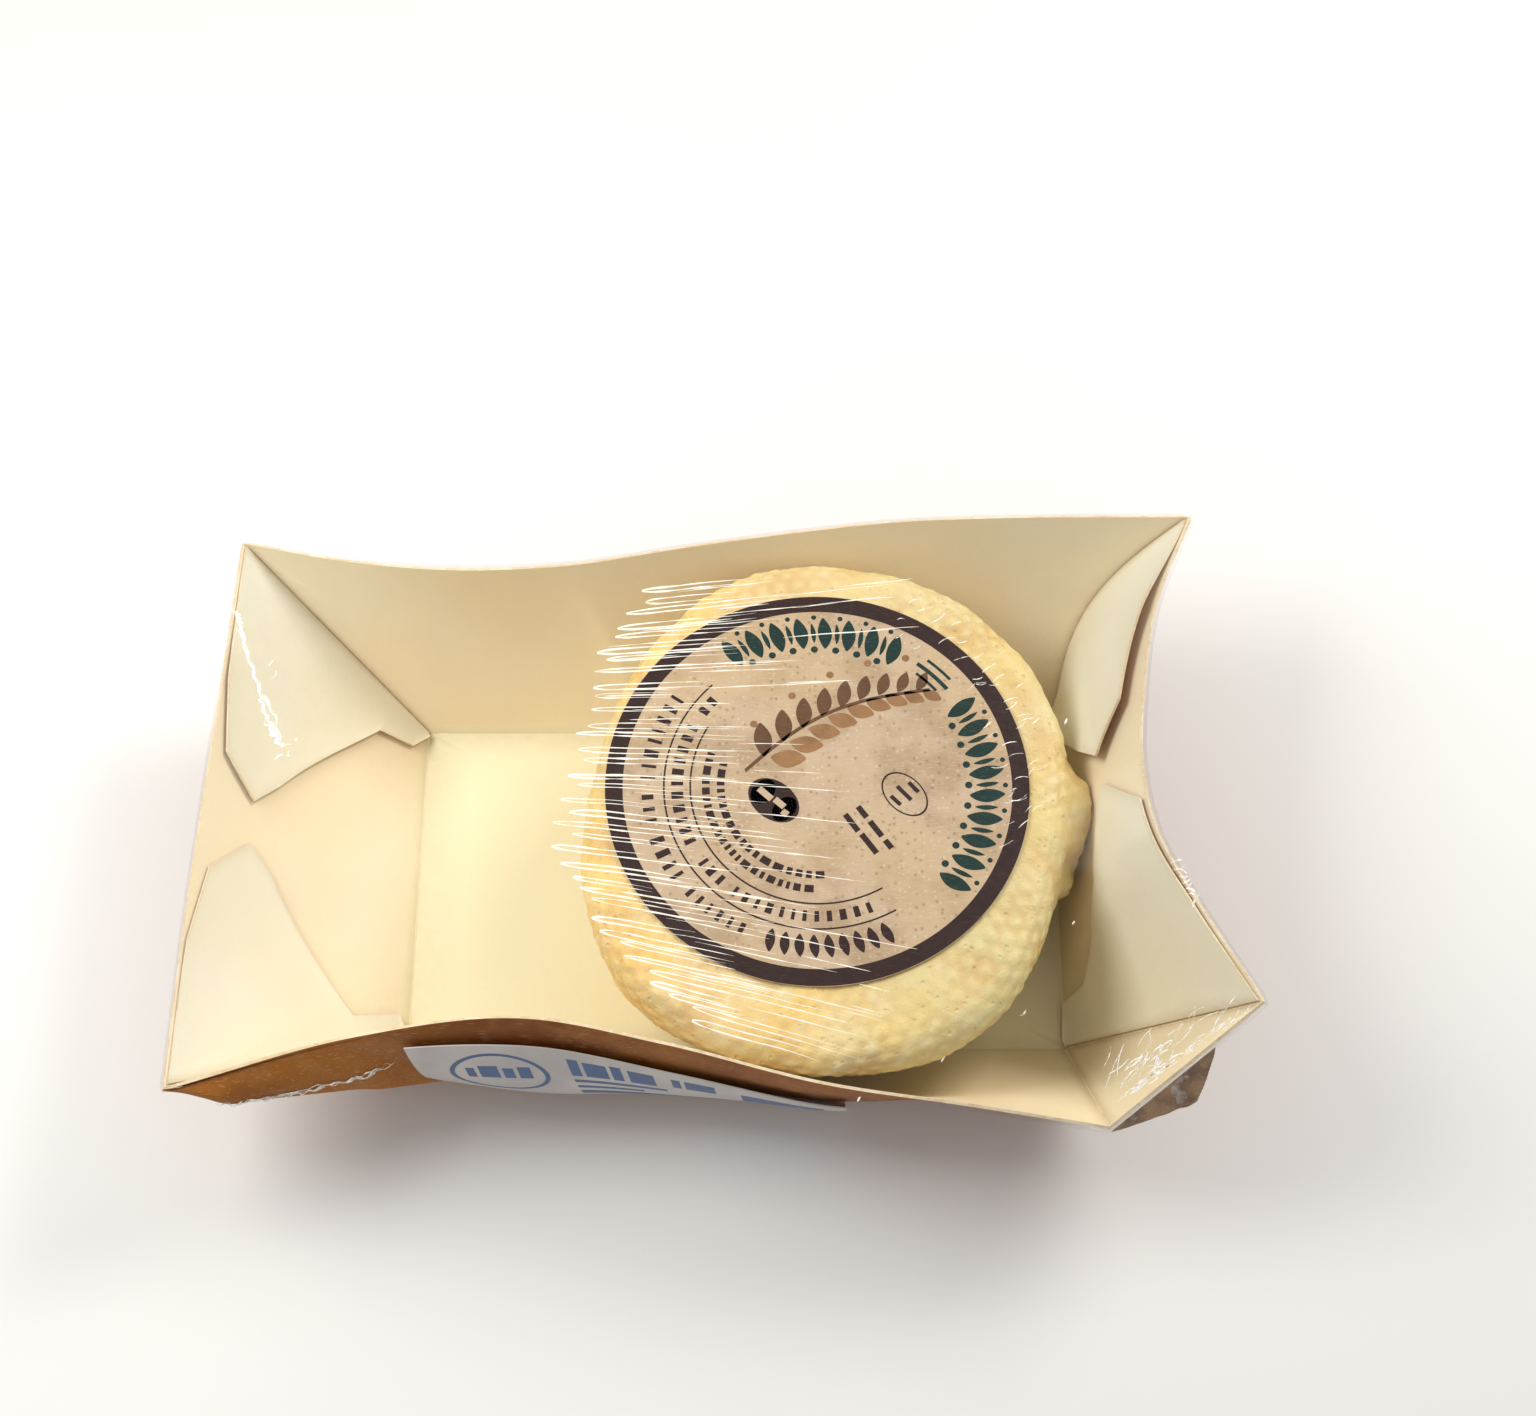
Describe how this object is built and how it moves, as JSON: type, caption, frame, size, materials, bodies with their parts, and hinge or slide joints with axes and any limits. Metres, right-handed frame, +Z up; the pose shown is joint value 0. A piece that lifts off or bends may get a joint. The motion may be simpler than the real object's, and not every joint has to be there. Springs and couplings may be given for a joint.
{
  "type": "goat cheese in film-wrapped card tray",
  "caption": "Soft round goat cheese with a printed paper top label, lying in a folded card tray sealed in clear stretch film.",
  "frame": {"origin": "centre of the flat underside of the tray's base, which lies on z = 0", "axes": "+X along the tray towards the cheese, -Y towards the side with the price label, +Z up"},
  "size_m": [0.2116, 0.1306, 0.0533],
  "materials": {
    "card": "cream inside, brown kraft outside, matt",
    "cheese": "moist cream-yellow curd with a pebbled surface",
    "label_paper": "speckled kraft paper with a dark brown ring",
    "clear_film": "clear stretch film, glossy and finely wrinkled",
    "price_paper": "white, with pale blue fields"
  },
  "bodies": {
    "root": {"tray": "card", "cheese": "cheese", "cheese_label": "label_paper", "film": "clear_film", "price_label": "price_paper"}
  },
  "joints": []
}
